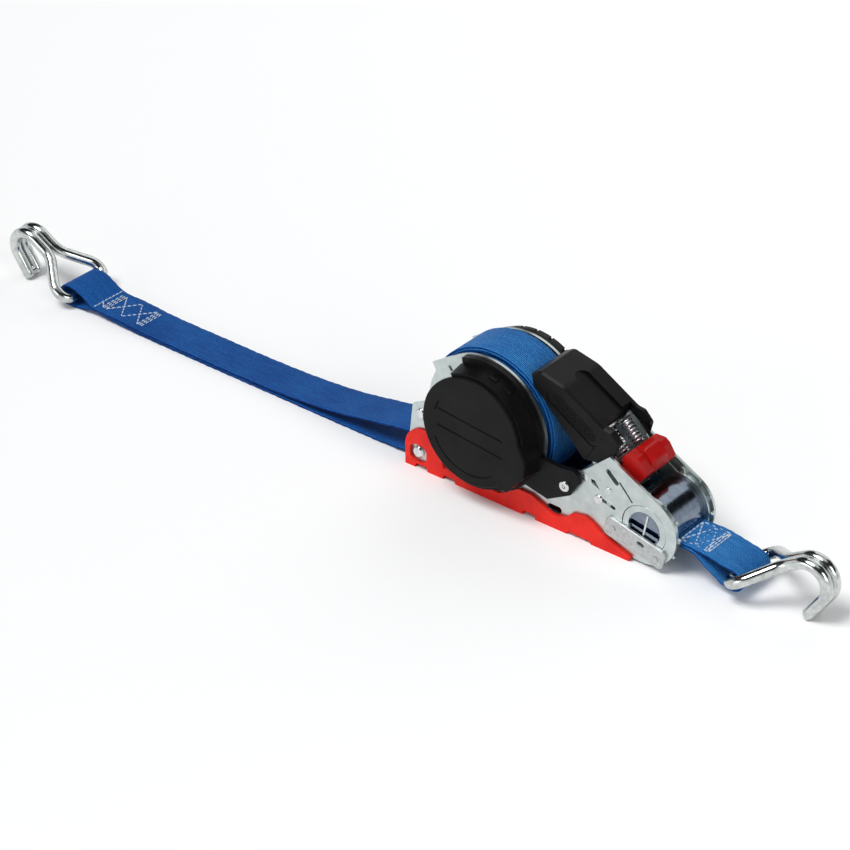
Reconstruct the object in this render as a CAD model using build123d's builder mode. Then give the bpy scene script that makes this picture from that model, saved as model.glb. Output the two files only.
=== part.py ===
from build123d import *
import os
from math import asin, atan2, cos, degrees, hypot, radians, sin

# Self-retracting ratchet tie-down for 25 mm webbing.
# X runs along the tie-down towards the adjustable hook, Y across it, Z up from the ground.
# The near side, with the retractor cap, is -Y. All sizes are in millimetres.

# ---------------------------------------------------------------- driving dimensions
WEBBING_WIDTH = 25.0
WEBBING = 1.3                     # webbing thickness
FRAME_INNER = 31.0                # clear width between the side plates
PLATE = 1.5                       # side plate thickness
MANDREL_X, MANDREL_Z = 78.0, 21.0
SPOOL_X, SPOOL_Z = -20.5, 44.5
PLATE_END_RADIUS = 19.5           # side plate round the mandrel
LOBE_RADIUS = 37.6                # side plate round the spool
ROLL_RADIUS = 40.0                # webbing wound on the spool
SLOT_TILT = -10.0                 # mandrel slot, degrees from level
HANDLE_ANGLE = 139.7              # handle folded shut, degrees from +X
DRIVE_PAWL_ANGLE = 135.0
HOLDING_PAWL_ANGLE = 165.0
TEETH = 12
TOOTH_TIP, TOOTH_ROOT = 20.5, 16.6
DRUM_RADIUS, SHAFT_RADIUS, SLOT_GAP = 15.4, 9.5, 3.0
COLLAR_RADIUS = 13.3              # ratchet wheel collar that turns in the side plate
RUNNING = 0.08                    # radial running clearance
BASE_FLOOR, BASE_WALL = 2.0, 1.6
BOLT_X, BOLT_Z, BOLT_RADIUS = -64.5, 9.5, 3.0
SLEEVE_RADIUS = 5.0
UPPER_PIN = (-63.6, 32.7)
NECK_BOLT, NECK_BOLT_RADIUS, NECK_SPACER_RADIUS = (41.5, 36.6), 2.0, 4.2
SPRING_PIN, SPRING_PIN_RADIUS = (36.2, 32.2), 1.6
FOOT_SCREW = (31.6, 29.2)
FIXED_HOOK_X, FIXED_HOOK_Z = -324.0, 6.8
FIXED_HOOK_YAW, FIXED_HOOK_ROLL = 4.5, -4.5
FREE_HOOK_X, FREE_HOOK_Z = 127.5, 10.2
HOOK_WIRE = 3.2                   # hook wire radius

# ---------------------------------------------------------------- derived sizes
PLATE_IN = FRAME_INNER / 2
PLATE_OUT = PLATE_IN + PLATE
HALF_WEB = WEBBING_WIDTH / 2
WHEEL_IN, WHEEL_OUT = 13.95, PLATE_IN - 0.15
HANDLE_PLATE_IN, HANDLE_PLATE_OUT = 12.8, 13.8
ROTOR_END = PLATE_OUT - 0.2       # how far the turning ends reach out from the middle
NEAR, FAR = -1, 1

os.makedirs("parts", exist_ok=True)


# ---------------------------------------------------------------- helpers
def finish(piece, name):
    """Label a finished piece and write it to its own STEP file."""
    piece.part.label = name
    export_step(piece.part, f"parts/{name}.step")


def side_plane(side, inner, thickness):
    """XZ plane from which extrude(amount=thickness) fills inner..inner+thickness on that side."""
    return Plane.XZ.offset(inner if side == NEAR else -(inner + thickness))


def polar(radius, angle, centre=(MANDREL_X, MANDREL_Z)):
    """Point in the XZ plane at a radius and angle (degrees from +X) round a centre."""
    return (centre[0] + radius * cos(radians(angle)), centre[1] + radius * sin(radians(angle)))


def on_axis(angle, along, above):
    """Point along a line through the mandrel at an angle, and above it on its upper side."""
    x, z = polar(along, angle)
    return (x + above * sin(radians(angle)), z - above * cos(radians(angle)))


def cross_pin(name, point, radius, half_length, head_radius=0.0, head=1.2):
    """Round pin across the frame, with a low head on each end outside the side plates."""
    with BuildPart() as pin:
        with BuildSketch(Plane.XZ):
            with Locations(point):
                Circle(radius)
        extrude(amount=half_length, both=True)
        if head_radius:
            for side in (NEAR, FAR):
                with BuildSketch(side_plane(side, half_length, head)):
                    with Locations(point):
                        Circle(head_radius)
                extrude(amount=head)
            rims = pin.edges().filter_by(GeomType.CIRCLE).group_by(Axis.Y)
            chamfer(list(rims[0]) + list(rims[-1]), head * 0.4)
    finish(pin, name)


def tube(name, point, outer, inner, half_length):
    """Spacer sleeve across the frame."""
    with BuildPart() as sleeve:
        with BuildSketch(Plane.XZ):
            with Locations(point):
                Circle(outer)
                Circle(inner, mode=Mode.SUBTRACT)
        extrude(amount=half_length, both=True)
    finish(sleeve, name)


# ---------------------------------------------------------------- side plates
def side_plate(name, side):
    """Zinc-plated frame plate: spool lobe, neck, mandrel end and all its holes."""
    with BuildPart() as plate:
        with BuildSketch(side_plane(side, PLATE_IN, PLATE)):
            with Locations((SPOOL_X, SPOOL_Z)):
                Circle(LOBE_RADIUS)
            with Locations((MANDREL_X, MANDREL_Z)):
                Circle(PLATE_END_RADIUS)
            with BuildLine():
                shoulder = polar(PLATE_END_RADIUS, 60)
                Polyline((-71, 2.4), (-71, 19), (-69, 37), (-58, 42.5), (-40, 42.5), (-10, 37),
                         (24.3, 36.9), (37.7, 38.2), (43.4, 43), (56, 54.4), shoulder,
                         (MANDREL_X, MANDREL_Z), (MANDREL_X, MANDREL_Z - PLATE_END_RADIUS),
                         (60, 2.4), close=True)
            make_face()
            with BuildLine():        # lifting ear at the top left of the lobe
                Polyline((-43, 74.8), (-56, 66.6), (-53.6, 62.4), (-40, 62), close=True)
            make_face()
            with Locations((MANDREL_X, MANDREL_Z)):
                Circle(COLLAR_RADIUS + RUNNING, mode=Mode.SUBTRACT)
            with Locations((SPOOL_X, SPOOL_Z)):
                Circle(8.0, mode=Mode.SUBTRACT)
            with Locations((BOLT_X, BOLT_Z)):
                Circle(BOLT_RADIUS + 0.05, mode=Mode.SUBTRACT)
            with Locations(UPPER_PIN, NECK_BOLT, FOOT_SCREW):
                Circle(2.05, mode=Mode.SUBTRACT)
            with Locations((23.3, 10.6)):
                SlotOverall(9, 4, mode=Mode.SUBTRACT)
            with Locations(Location(polar(22.6, HOLDING_PAWL_ANGLE), HOLDING_PAWL_ANGLE)):
                SlotOverall(9, 1.8, mode=Mode.SUBTRACT)
            with Locations(SPRING_PIN):
                Circle(SPRING_PIN_RADIUS + 0.05, mode=Mode.SUBTRACT)
            with Locations(Location(polar(30, 131.7), 138)):
                SlotOverall(9.6, 2.7, mode=Mode.SUBTRACT)
            with BuildLine():        # tear-drop hole
                Polyline((45.2, 37.4), (47.4, 37.4), (50.6, 33.1), (45.6, 35.2), close=True)
            make_face(mode=Mode.SUBTRACT)
            with BuildLine():        # lanced slit from the upper slot to the mandrel collar
                slit = ThreePointArc((62.6, 42), (67.2, 37.2), (70.2, 33.8))
                offset(slit, amount=0.5)
            make_face(mode=Mode.SUBTRACT)
        extrude(amount=PLATE)
        if side == NEAR:             # pressed-out stop for the retractor housing
            with BuildSketch(side_plane(side, PLATE_OUT, 1)):
                with Locations(Location((-45.8, 65.8), 40)):
                    Rectangle(4.4, 3.2)
            extrude(amount=0.8)
    finish(plate, name)


side_plate("side_plate_near", NEAR)
side_plate("side_plate_far", FAR)


# ---------------------------------------------------------------- red base tray
wall_top = [(-49, 12), (-47, 6.6), (-10, 6.6), (1.8, 14.2), (9.9, 14.0), (17.4, 10.6), (23.8, 8.3),
            (31, 9), (35.2, 13.2), (43.2, 14.6), (48.5, 12.6), (54, 8.9), (72, 2.6), (71, 0)]

with BuildPart() as base_tray:
    for side in (NEAR, FAR):
        with BuildSketch(side_plane(side, PLATE_OUT + 0.2, BASE_WALL)):
            with BuildLine():
                Polyline(*wall_top, (-73, 0), (-73, 12))
                ThreePointArc((-73, 12), (-61, 24), (-49, 12))
            make_face()
            with Locations((BOLT_X + 0.5, BOLT_Z - 0.5)):
                RectangleRounded(11, 10.4, 4, mode=Mode.SUBTRACT)
        extrude(amount=BASE_WALL)
    with BuildSketch(Plane.XY):
        with Locations((-10, 0)):
            Rectangle(122, 2 * (PLATE_OUT + 0.2 + BASE_WALL))
    extrude(amount=BASE_FLOOR)
    for side in (NEAR, FAR):         # arches between the feet
        with BuildSketch(side_plane(side, 14.5, 6)):
            with Locations((-62, 0), (-43.5, 0), (8.5, 0)):
                RectangleRounded(8, 5.2, 1.4)
            with Locations((40, 0)):
                RectangleRounded(15, 3.6, 1.4)
        extrude(amount=6, mode=Mode.SUBTRACT)
    top_edges = base_tray.edges().filter_by(GeomType.CIRCLE).filter_by(lambda e: e.radius > 11)
    fillet(top_edges, 0.6)
finish(base_tray, "base_tray")


# ---------------------------------------------------------------- frame fasteners
cross_pin("end_bolt", (BOLT_X, BOLT_Z), BOLT_RADIUS, PLATE_OUT, 3.4, 1.8)
tube("end_bolt_sleeve", (BOLT_X, BOLT_Z), SLEEVE_RADIUS, BOLT_RADIUS + 0.1, PLATE_IN - 0.1)
cross_pin("upper_cross_pin", UPPER_PIN, 2.0, PLATE_OUT, 2.9, 1.0)
cross_pin("neck_bolt", NECK_BOLT, NECK_BOLT_RADIUS, PLATE_OUT)
tube("neck_spacer", NECK_BOLT, NECK_SPACER_RADIUS, NECK_BOLT_RADIUS + 0.1, PLATE_IN - 0.1)
cross_pin("spring_seat_pin", SPRING_PIN, SPRING_PIN_RADIUS, PLATE_OUT)

with BuildPart() as plate_rivets:
    for side in (NEAR, FAR):
        with BuildSketch(side_plane(side, PLATE_OUT, 0.8)):
            with Locations((56.0, 34.9)):
                Circle(1.7)
            with Locations((50.2, 27.2)):
                Circle(2.6)
        extrude(amount=0.8)
    fillet(plate_rivets.edges().filter_by(GeomType.CIRCLE).filter_by(
        lambda e: abs(e.center().Y) > PLATE_OUT + 0.7), 0.4)
finish(plate_rivets, "plate_rivets")


# ---------------------------------------------------------------- keeper plates at the mandrel ends
KEEPER_CENTRE, KEEPER_TILT, KEEPER = (73.5, 11.9), -13.0, 1.5
KEEPER_LENGTH, KEEPER_WIDTH = 37.0, 11.4


def keeper_point(along, above):
    """Point on the tilted keeper bar, from its centre."""
    tilt = radians(KEEPER_TILT)
    return (KEEPER_CENTRE[0] + along * cos(tilt) - above * sin(tilt),
            KEEPER_CENTRE[1] + along * sin(tilt) + above * cos(tilt))


def keeper_plate(name, side):
    """Steel bar riveted over the lower half of the mandrel end."""
    with BuildPart() as keeper:
        with BuildSketch(side_plane(side, PLATE_OUT, KEEPER)):
            with Locations(Location(KEEPER_CENTRE, KEEPER_TILT)):
                RectangleRounded(KEEPER_LENGTH, KEEPER_WIDTH, 3)
            with Locations(keeper_point(-13.5, 0), keeper_point(13.5, -1)):
                Circle(1.55, mode=Mode.SUBTRACT)
            with Locations(Location(keeper_point(3.5, 1.6), KEEPER_TILT)):
                SlotOverall(4.4, 2.2, mode=Mode.SUBTRACT)
        extrude(amount=KEEPER)
        face = keeper.faces().sort_by(Axis.Y)[0 if side == NEAR else -1]
        chamfer(face.outer_wire().edges(), 0.3)
    finish(keeper, name)


keeper_plate("keeper_plate_near", NEAR)
keeper_plate("keeper_plate_far", FAR)

with BuildPart() as keeper_rivets:
    for side in (NEAR, FAR):
        for along, above in ((-13.5, 0), (13.5, -1)):
            with BuildSketch(side_plane(side, PLATE_OUT + 0.02, KEEPER + 0.45)):
                with Locations(keeper_point(along, above)):
                    Circle(1.5)
            extrude(amount=KEEPER + 0.45)
finish(keeper_rivets, "keeper_rivets")


# ---------------------------------------------------------------- spring retractor, near side
FLANGE_RADIUS, FLANGE = 36.9, 3.0
HOUSING_DEPTH, HOUSING_RADIUS, HOUSING_INSIDE = 9.0, 33.6, 26.4
CAP_RADIUS, CAP = 30.4, 2.2
NEAR_FLANGE_OUT = PLATE_OUT + FLANGE
NEAR_DRUM_OUT = NEAR_FLANGE_OUT + HOUSING_DEPTH


with BuildPart() as retractor_housing:
    with BuildSketch(side_plane(NEAR, PLATE_OUT, FLANGE)):
        with Locations((SPOOL_X, SPOOL_Z)):
            Circle(FLANGE_RADIUS)
        with BuildLine():            # foot that reaches along the plate to its screw
            Polyline((0, 40), (28.3, 38.3), (36.8, 39.6), (38.9, 37.4), (39.6, 32.6), (34.9, 24.7),
                     (20.8, 16.7), (5, 20), close=True)
        make_face()
        with BuildLine():            # the flange is open at the upper left, beside the ear
            Polyline((-80, 30), (-45, 30), (-45, 60), (-34, 74), (-36, 90), (-80, 90), close=True)
        make_face(mode=Mode.SUBTRACT)
    extrude(amount=FLANGE)
    with BuildSketch(side_plane(NEAR, PLATE_OUT, 1)):
        with Locations((SPOOL_X, SPOOL_Z)):
            Circle(HOUSING_RADIUS - 1)
    extrude(amount=FLANGE)
    with BuildSketch(side_plane(NEAR, NEAR_FLANGE_OUT, 1)):
        with Locations((SPOOL_X, SPOOL_Z)):
            Circle(HOUSING_RADIUS)
        with BuildLine():
            Polyline((SPOOL_X, SPOOL_Z), (9, 50), (15.4, 40), (14.8, 30.6), (3, 17.4), (-2, 18.4),
                     close=True)
        make_face()
    extrude(amount=HOUSING_DEPTH, taper=9)
    with BuildSketch(side_plane(NEAR, PLATE_OUT, 1)):        # stepped back at the upper left, beside the ear
        with Locations((SPOOL_X, SPOOL_Z)):
            Circle(45)
            Circle(HOUSING_INSIDE + 2.4, mode=Mode.SUBTRACT)
        with BuildLine():
            Polyline((SPOOL_X, SPOOL_Z), polar(60, 116, (SPOOL_X, SPOOL_Z)), polar(60, 150, (SPOOL_X, SPOOL_Z)),
                     polar(60, 184, (SPOOL_X, SPOOL_Z)), close=True)
        make_face(mode=Mode.INTERSECT)
    extrude(amount=FLANGE + HOUSING_DEPTH, mode=Mode.SUBTRACT)
    with BuildSketch(side_plane(NEAR, PLATE_OUT, 1)):
        with Locations((SPOOL_X, SPOOL_Z)):
            Circle(9)
    extrude(amount=FLANGE + HOUSING_DEPTH, mode=Mode.SUBTRACT)
    with BuildSketch(side_plane(NEAR, PLATE_OUT + 1.6, 1)):
        with Locations((SPOOL_X, SPOOL_Z)):
            Circle(HOUSING_INSIDE)
    extrude(amount=FLANGE + HOUSING_DEPTH, mode=Mode.SUBTRACT)
    with BuildSketch(side_plane(NEAR, PLATE_OUT, 1)):
        with Locations(FOOT_SCREW):
            Circle(2.05)
    extrude(amount=FLANGE, mode=Mode.SUBTRACT)
    for angle in (58, 74):           # latch ribs on the side of the drum
        rib_at = polar(HOUSING_RADIUS - 0.7, angle, (SPOOL_X, SPOOL_Z))
        with BuildSketch(side_plane(NEAR, NEAR_FLANGE_OUT, 1)):
            with Locations(Location(rib_at, angle)):
                Rectangle(1.6, 4.5)
        extrude(amount=HOUSING_DEPTH * 0.55)
finish(retractor_housing, "retractor_housing")

CAP_FACE = NEAR_DRUM_OUT + CAP
with BuildPart() as retractor_cap:
    with BuildSketch(side_plane(NEAR, NEAR_DRUM_OUT, 1)):
        with Locations((SPOOL_X, SPOOL_Z)):
            Circle(CAP_RADIUS)
        with BuildLine():            # square lug at the lower right
            Polyline((SPOOL_X, SPOOL_Z), (9, 50), (14.4, 39), (13.8, 31.2), (3, 18.6), (-2, 19.2),
                     close=True)
        make_face()
    extrude(amount=CAP)
    front = retractor_cap.faces().sort_by(Axis.Y)[0]
    fillet(front.outer_wire().edges(), 0.8)
    with BuildSketch(side_plane(NEAR, CAP_FACE - 0.5, 1)):
        for above, turn in ((5.2, -6.0), (-4.6, -6.0)):      # two straight grooves across the cap
            with Locations(Location((SPOOL_X, SPOOL_Z + above), turn)):
                SlotOverall(42, 0.9)
        with BuildLine():            # arc under the lower groove
            low = ThreePointArc(polar(24.5, 205, (SPOOL_X, SPOOL_Z)), polar(24.5, 255, (SPOOL_X, SPOOL_Z)),
                                polar(24.5, 305, (SPOOL_X, SPOOL_Z)))
            offset(low, amount=0.4)
        make_face()
        with BuildLine():            # short arc at the left end of the upper groove
            high = ThreePointArc(polar(23, 165, (SPOOL_X, SPOOL_Z)), polar(23, 158, (SPOOL_X, SPOOL_Z)),
                                 polar(23, 150, (SPOOL_X, SPOOL_Z)))
            offset(high, amount=0.4)
        make_face()
    extrude(amount=2, mode=Mode.SUBTRACT)
finish(retractor_cap, "retractor_cap")

with BuildPart() as foot_screw:
    with BuildSketch(side_plane(NEAR, PLATE_IN, 1)):
        with Locations(FOOT_SCREW):
            Circle(2.0)
    extrude(amount=PLATE + FLANGE)
    with BuildSketch(side_plane(NEAR, NEAR_FLANGE_OUT, 1)):
        with Locations(FOOT_SCREW):
            Circle(3.0)
    extrude(amount=1.4)
    head = foot_screw.faces().sort_by(Axis.Y)[0]
    chamfer(head.edges(), 0.35)
    with BuildSketch(side_plane(NEAR, NEAR_FLANGE_OUT + 0.5, 1)):
        with Locations(FOOT_SCREW):
            RegularPolygon(1.3, 6)
    extrude(amount=2, mode=Mode.SUBTRACT)
finish(foot_screw, "foot_screw")

# Clock spring: half-turn arcs whose centres alternate, so that each turn grows by one pitch.
SPRING_TURNS, SPRING_PITCH, SPRING_START = 7, 2.2, 8.6
with BuildPart() as clock_spring:
    with BuildSketch(side_plane(NEAR, PLATE_OUT + 2.4, 1)):
        with BuildLine():
            x = SPOOL_X - SPRING_START
            radius = SPRING_START
            for half_turn in range(2 * SPRING_TURNS):
                way = 1 if half_turn % 2 == 0 else -1
                top = (x + way * radius, SPOOL_Z + way * radius)
                end = (x + way * 2 * radius, SPOOL_Z)
                ThreePointArc((x, SPOOL_Z), top, end)
                x = end[0]
                radius += SPRING_PITCH / 2
        trace(line_width=0.6)
    extrude(amount=7.5)
finish(clock_spring, "clock_spring")


# ---------------------------------------------------------------- spool cover, far side
FAR_FLANGE_RADIUS, FAR_DRUM_RADIUS, FAR_DEPTH = 36.9, 35.8, 4.6
with BuildPart() as far_housing:
    with BuildSketch(side_plane(FAR, PLATE_OUT, FLANGE)):
        with Locations((SPOOL_X, SPOOL_Z)):
            Circle(FAR_FLANGE_RADIUS)
    extrude(amount=FLANGE)
    with BuildSketch(Plane.XZ.offset(-(PLATE_OUT + FLANGE))):
        with Locations((SPOOL_X, SPOOL_Z)):
            Circle(FAR_DRUM_RADIUS)
    extrude(amount=-FAR_DEPTH, taper=6)
    with BuildSketch(Plane.XZ.offset(-(PLATE_OUT + FLANGE + FAR_DEPTH))):
        with Locations((SPOOL_X, SPOOL_Z)):
            Circle(24)
            Circle(7, mode=Mode.SUBTRACT)
    extrude(amount=-1.0, taper=20)
    with BuildSketch(Plane.XZ.offset(-PLATE_OUT)):
        with Locations((SPOOL_X, SPOOL_Z)):
            Circle(9.5)
    extrude(amount=-(FLANGE + FAR_DEPTH - 1.6), mode=Mode.SUBTRACT)
    with BuildSketch(Plane.XZ.offset(-(PLATE_OUT + FLANGE + 0.8))):      # vents round the rim
        for turn in range(-30, 226, 15):
            with Locations(Location(polar(FAR_DRUM_RADIUS, turn, (SPOOL_X, SPOOL_Z)), turn)):
                Rectangle(3.2, 1.2)
    extrude(amount=-6, mode=Mode.SUBTRACT)
finish(far_housing, "far_housing")

far_screw_points = [polar(29.5, angle, (SPOOL_X, SPOOL_Z)) for angle in (30, 150, 270)]
with BuildPart() as far_screws:
    with BuildSketch(Plane.XZ.offset(-(PLATE_OUT + FLANGE + FAR_DEPTH))):
        with Locations(*far_screw_points):
            Circle(2.2)
    extrude(amount=-1.2)
    chamfer(far_screws.edges().group_by(Axis.Y)[-1], 0.3)
finish(far_screws, "far_screws")


# ---------------------------------------------------------------- spool and wound webbing
HUB_RADIUS, JOURNAL = 11.8, 8.0 - RUNNING
with BuildPart() as spool_hub:
    with BuildSketch(Plane.XZ):
        with Locations((SPOOL_X, SPOOL_Z)):
            Circle(HUB_RADIUS)
    extrude(amount=14.2, both=True)
    with BuildSketch(Plane.XZ.offset(-(PLATE_OUT + 3.5))):
        with Locations((SPOOL_X, SPOOL_Z)):
            Circle(JOURNAL)
    extrude(amount=2 * PLATE_OUT + 3.5 + 9.5)
    with BuildSketch(Plane.XZ.offset(PLATE_OUT + 2)):
        with Locations((SPOOL_X, SPOOL_Z)):
            Rectangle(17, 1.2)
    extrude(amount=20, mode=Mode.SUBTRACT)
finish(spool_hub, "spool_hub")

with BuildPart() as webbing_roll:
    with BuildSketch(Plane.XZ):
        with Locations((SPOOL_X, SPOOL_Z)):
            Circle(ROLL_RADIUS)
            Circle(HUB_RADIUS, mode=Mode.SUBTRACT)
    extrude(amount=HALF_WEB + 0.5, both=True)
finish(webbing_roll, "webbing_roll")


# ---------------------------------------------------------------- webbing between spool and mandrel
run_start = polar(DRUM_RADIUS + 0.5, 180 + SLOT_TILT)
run_radius = ROLL_RADIUS + 0.35 + WEBBING / 2
to_spool = (SPOOL_X - run_start[0], SPOOL_Z - run_start[1])
run_way = atan2(to_spool[1], to_spool[0]) + asin(run_radius / hypot(*to_spool))
touch = polar(run_radius, degrees(run_way) + 90, (SPOOL_X, SPOOL_Z))
run_end = polar(run_radius, degrees(run_way) + 68, (SPOOL_X, SPOOL_Z))
run_middle = polar(run_radius, degrees(run_way) + 79, (SPOOL_X, SPOOL_Z))

with BuildPart() as webbing_run:
    with BuildSketch(Plane.XZ):
        with BuildLine():
            Line(run_start, touch)
            ThreePointArc(touch, run_middle, run_end)
        trace(line_width=WEBBING)
    extrude(amount=HALF_WEB, both=True)
finish(webbing_run, "webbing_run")

with BuildPart() as webbing_in_slot:
    with BuildSketch(Plane.XZ):
        with Locations(Location((MANDREL_X, MANDREL_Z), SLOT_TILT)):
            Rectangle(2 * DRUM_RADIUS - 0.4, WEBBING)
    extrude(amount=HALF_WEB - 0.1, both=True)
finish(webbing_in_slot, "webbing_in_slot")


# ---------------------------------------------------------------- mandrel
RECESS_RADIUS, RECESS, COTTER = 8.7, 0.9, 0.72


def mandrel_half(name, upper):
    """Half-moon shaft: full drum between the handle plates, thinner through wheels and frame."""
    middle = Location((MANDREL_X, MANDREL_Z), SLOT_TILT)
    way = 1 if upper else -1
    keep_at = (0, way * (SLOT_GAP / 2 + 15))
    with BuildPart() as half:
        for radius, reach in ((DRUM_RADIUS, HANDLE_PLATE_IN - 0.15), (SHAFT_RADIUS, ROTOR_END)):
            with BuildSketch(Plane.XZ):
                with Locations(middle):
                    Circle(radius)
                    with Locations(keep_at):
                        Rectangle(40, 30, mode=Mode.INTERSECT)
            extrude(amount=reach, both=True)
        for side in (NEAR, FAR):
            with BuildSketch(side_plane(side, ROTOR_END - RECESS, RECESS)):
                with Locations(middle):
                    Circle(RECESS_RADIUS)
            extrude(amount=RECESS, mode=Mode.SUBTRACT)
            cotter_plane = Plane(origin=(MANDREL_X, side * (ROTOR_END - RECESS), MANDREL_Z),
                                 x_dir=(0, 1, 0), z_dir=(-sin(radians(SLOT_TILT)), 0,
                                                         cos(radians(SLOT_TILT))))
            with BuildSketch(cotter_plane.offset(-12)):
                Circle(COTTER + 0.08)
            extrude(amount=24, mode=Mode.SUBTRACT)
    finish(half, name)


mandrel_half("mandrel_half_upper", True)
mandrel_half("mandrel_half_lower", False)

with BuildPart() as cotter_pins:
    for side in (NEAR, FAR):
        pin_plane = Plane(origin=(MANDREL_X, side * (ROTOR_END - RECESS), MANDREL_Z), x_dir=(0, 1, 0),
                          z_dir=(-sin(radians(SLOT_TILT)), 0, cos(radians(SLOT_TILT))))
        with BuildSketch(pin_plane.offset(-8.4)):
            Circle(COTTER)
        extrude(amount=16.8)
finish(cotter_pins, "cotter_pins")


def ratchet_wheel(name, side):
    """Toothed wheel with a collar that turns in the side plate."""
    thick = WHEEL_OUT - WHEEL_IN
    pitch = 360 / TEETH
    outline = []
    for tooth in range(TEETH):
        for radius, angle in ((TOOTH_TIP, -2.2), (TOOTH_TIP, 2.2), (TOOTH_ROOT, 5.5),
                              (TOOTH_ROOT, 21.0)):
            outline.append(polar(radius, tooth * pitch + angle))
    with BuildPart() as wheel:
        with BuildSketch(side_plane(side, WHEEL_IN, thick)):
            with BuildLine():
                Polyline(*outline, close=True)
            make_face()
            with Locations((MANDREL_X, MANDREL_Z)):
                Circle(SHAFT_RADIUS + 0.05, mode=Mode.SUBTRACT)
        extrude(amount=thick)
        collar = ROTOR_END - WHEEL_OUT
        with BuildSketch(side_plane(side, WHEEL_OUT, collar)):
            with Locations((MANDREL_X, MANDREL_Z)):
                Circle(COLLAR_RADIUS)
                Circle(SHAFT_RADIUS + 0.05, mode=Mode.SUBTRACT)
        extrude(amount=collar)
        collar_edges = wheel.edges().filter_by(GeomType.CIRCLE).filter_by(
            lambda e: abs(e.radius - COLLAR_RADIUS) < 0.01 and abs(e.center().Y) > ROTOR_END - 0.1)
        chamfer(collar_edges, 0.4)
    finish(wheel, name)


ratchet_wheel("ratchet_wheel_near", NEAR)
ratchet_wheel("ratchet_wheel_far", FAR)


# ---------------------------------------------------------------- frame holding pawl
PAWL_REST = TOOTH_TIP + 0.35      # both pawls rest just clear of the tooth tips
HOLDING_PAWL = 1.5


def strip(angle, start, end, thickness):
    """Corners of a flat strip on a radial line of the mandrel."""
    half = thickness / 2
    return [on_axis(angle, start, half), on_axis(angle, end, half),
            on_axis(angle, end, -half), on_axis(angle, start, -half)]


def radial_pawl(name, angle, thickness, layers):
    """Stamped pawl that slides along a radial line of the mandrel; layers are (start, end, half width)."""
    with BuildPart() as pawl:
        for start, end, half_width in layers:
            with BuildSketch(Plane.XZ):
                with BuildLine():
                    Polyline(*strip(angle, start, end, thickness), close=True)
                make_face()
            extrude(amount=half_width, both=True)
    finish(pawl, name)


radial_pawl("holding_pawl", HOLDING_PAWL_ANGLE, HOLDING_PAWL,
            [(PAWL_REST, 26, PLATE_IN - 0.25), (26, 32, 10),
             (PAWL_REST + 0.3, PAWL_REST + 2.8, PLATE_OUT - 0.1)])


def coil_spring(name, angle, start, end, above, coil_radius, wire, turns, spread):
    """Pair of compression springs beside each other, along a radial line of the mandrel."""
    x0, z0 = on_axis(angle, start + wire, above)
    length = end - start - 2 * wire
    direction = (cos(radians(angle)), 0, sin(radians(angle)))
    with BuildPart() as springs:
        for across in (-spread, spread):
            with BuildLine() as coil:
                Helix(pitch=length / turns, height=length, radius=coil_radius,
                      center=(x0, across, z0), direction=direction)
            with BuildSketch(Plane(origin=coil.line @ 0, z_dir=coil.line % 0)):
                Circle(wire)
            sweep(path=coil.line)
    finish(springs, name)


coil_spring("holding_pawl_springs", HOLDING_PAWL_ANGLE, 32.2, 41.4, -1.5, 2.0, 0.3, 7, 6)


# ---------------------------------------------------------------- handle
def handle_point(along, above):
    """Point in the handle's own axes: along it from the pivot, and above its line."""
    return on_axis(HANDLE_ANGLE, along, above)


SPRING_SEAT = on_axis(DRIVE_PAWL_ANGLE, 52.0, 4.0)
GRIP_PIN = handle_point(74, 2.2)


def handle_plate(name, side):
    """Steel handle arm: cam end round the mandrel, slot for the drive pawl, arm into the grip."""
    thick = HANDLE_PLATE_OUT - HANDLE_PLATE_IN
    with BuildPart() as arm:
        with BuildSketch(side_plane(side, HANDLE_PLATE_IN, thick)):
            with Locations((MANDREL_X, MANDREL_Z)):
                Circle(18)
            with BuildLine():
                Polyline(handle_point(10, -12), handle_point(20, -5.8), handle_point(44, -4.0),
                         handle_point(80, -1.2), handle_point(80, 3.5), handle_point(62, 10.2),
                         handle_point(46, 12.6), handle_point(30, 9.4), handle_point(10, 13),
                         close=True)
            make_face()
            with Locations((MANDREL_X, MANDREL_Z)):
                Circle(SHAFT_RADIUS + RUNNING, mode=Mode.SUBTRACT)
            with Locations(Location(polar(25.6, DRIVE_PAWL_ANGLE), DRIVE_PAWL_ANGLE)):
                SlotOverall(15.6, 2.7, mode=Mode.SUBTRACT)
            with Locations(SPRING_SEAT, GRIP_PIN):
                Circle(2.0 + 0.02, mode=Mode.SUBTRACT)
        extrude(amount=thick)
    finish(arm, name)


handle_plate("handle_plate_near", NEAR)
handle_plate("handle_plate_far", FAR)
cross_pin("handle_cross_pin", SPRING_SEAT, 2.0, HANDLE_PLATE_OUT)
cross_pin("grip_pin", GRIP_PIN, 2.0, HANDLE_PLATE_OUT)

GRIP_HALF, GRIP_INSIDE = 15.0, 13.95
grip_outline = [(4.6, 81.8), (10.5, 85.2), (25.5, 81.8), (50.4, 67.6), (55, 67), (60, 61.8), (58.4, 55),
                (50, 46.4), (38.5, 44.2), (12.5, 69.6), (6, 75)]
grip_cavity = [(12, 76.0), (23, 78.4), (50, 63.2), (70, 58), (58, 40), (44, 36), (14.5, 73)]
GRIP_TOP_TILT = atan2(67.6 - 81.8, 50.4 - 25.5)
top_across = (cos(GRIP_TOP_TILT), 0, sin(GRIP_TOP_TILT))
top_normal = (-sin(GRIP_TOP_TILT), 0, cos(GRIP_TOP_TILT))

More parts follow.
